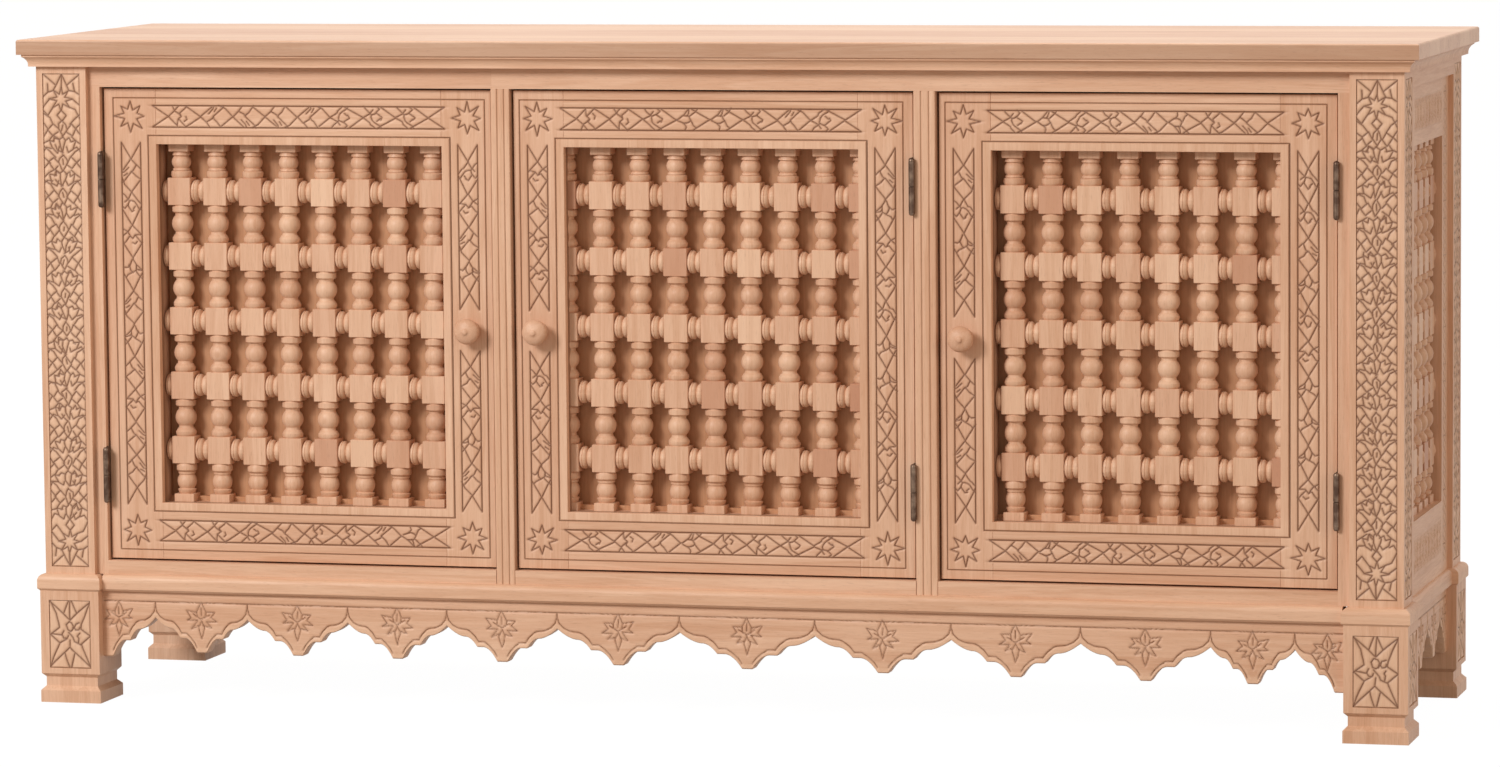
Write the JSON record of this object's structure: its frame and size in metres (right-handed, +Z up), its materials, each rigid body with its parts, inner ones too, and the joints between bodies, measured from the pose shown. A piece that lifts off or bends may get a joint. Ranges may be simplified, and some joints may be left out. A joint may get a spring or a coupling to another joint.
{
  "type": "moroccan carved cabinet",
  "caption": "Long carved sideboard on collared legs with framed doors of turned lattice, a moulded top, scalloped aprons and shelved compartments.",
  "frame": {"origin": "on the floor under the middle of the top", "axes": "+X to the right along the front, +Y from the front to the back, +Z up"},
  "size_m": [1.878, 0.516, 0.89],
  "materials": {
    "bare_wood": "bare sanded wood, unfinished",
    "inner_wood": "plain sanded wood",
    "backing_wood": "plain sanded wood, darker than the lattice",
    "hinge_metal": "dark bronze-grey, worn"
  },
  "bodies": {
    "cabinet": {"back_left_post": "bare_wood", "back_panel": "inner_wood", "back_rails": "inner_wood", "back_right_post": "bare_wood", "cabinet_floor": "inner_wood", "cornice_frame": "bare_wood", "door_stops": "inner_wood", "front_apron": "bare_wood", "front_base_moulding": "bare_wood", "front_bottom_rails": "bare_wood", "front_left_post": "bare_wood", "front_right_post": "bare_wood", "front_stiles": "bare_wood", "front_top_rail_left": "bare_wood", "front_top_rail_right": "bare_wood", "hinge_frame_leaves": "hinge_metal", "hinge_pins": "hinge_metal", "left_mullion": "bare_wood", "left_side_lattice_spindles": "bare_wood", "left_side_lattice_spools": "bare_wood", "legs": "bare_wood", "partitions": "inner_wood", "post_collars": "bare_wood", "right_mullion": "bare_wood", "right_side_lattice_spindles": "bare_wood", "right_side_lattice_spools": "bare_wood", "shelf_battens": "inner_wood", "shelves": "inner_wood", "side_aprons": "bare_wood", "side_backings": "backing_wood", "side_base_mouldings": "bare_wood", "side_rails": "bare_wood", "side_stiles": "bare_wood", "side_top_rails": "bare_wood", "top_board": "bare_wood"},
    "left_door": {"left_door_backing": "backing_wood", "left_door_hinge_leaves": "hinge_metal", "left_door_knob": "bare_wood", "left_door_lattice_spindles": "bare_wood", "left_door_lattice_spools": "bare_wood", "left_door_rails": "bare_wood", "left_door_sight_moulding": "bare_wood", "left_door_stiles": "bare_wood"},
    "middle_door": {"middle_door_backing": "backing_wood", "middle_door_hinge_leaves": "hinge_metal", "middle_door_knob": "bare_wood", "middle_door_lattice_spindles": "bare_wood", "middle_door_lattice_spools": "bare_wood", "middle_door_rails": "bare_wood", "middle_door_sight_moulding": "bare_wood", "middle_door_stiles": "bare_wood"},
    "right_door": {"right_door_backing": "backing_wood", "right_door_hinge_leaves": "hinge_metal", "right_door_knob": "bare_wood", "right_door_lattice_spindles": "bare_wood", "right_door_lattice_spools": "bare_wood", "right_door_rails": "bare_wood", "right_door_sight_moulding": "bare_wood", "right_door_stiles": "bare_wood"}
  },
  "joints": [
    {"name": "left_door_hinge", "type": "hinge", "parent": "cabinet", "child": "left_door", "pos_m": [-0.83075, -0.2353, 0.509], "axis": [0, 0, -1], "range_deg": [0, 105]},
    {"name": "middle_door_hinge", "type": "hinge", "parent": "cabinet", "child": "middle_door", "pos_m": [0.27915, -0.2353, 0.509], "axis": [0, 0, 1], "range_deg": [0, 105]},
    {"name": "right_door_hinge", "type": "hinge", "parent": "cabinet", "child": "right_door", "pos_m": [0.83075, -0.2353, 0.509], "axis": [0, 0, 1], "range_deg": [0, 105]}
  ]
}
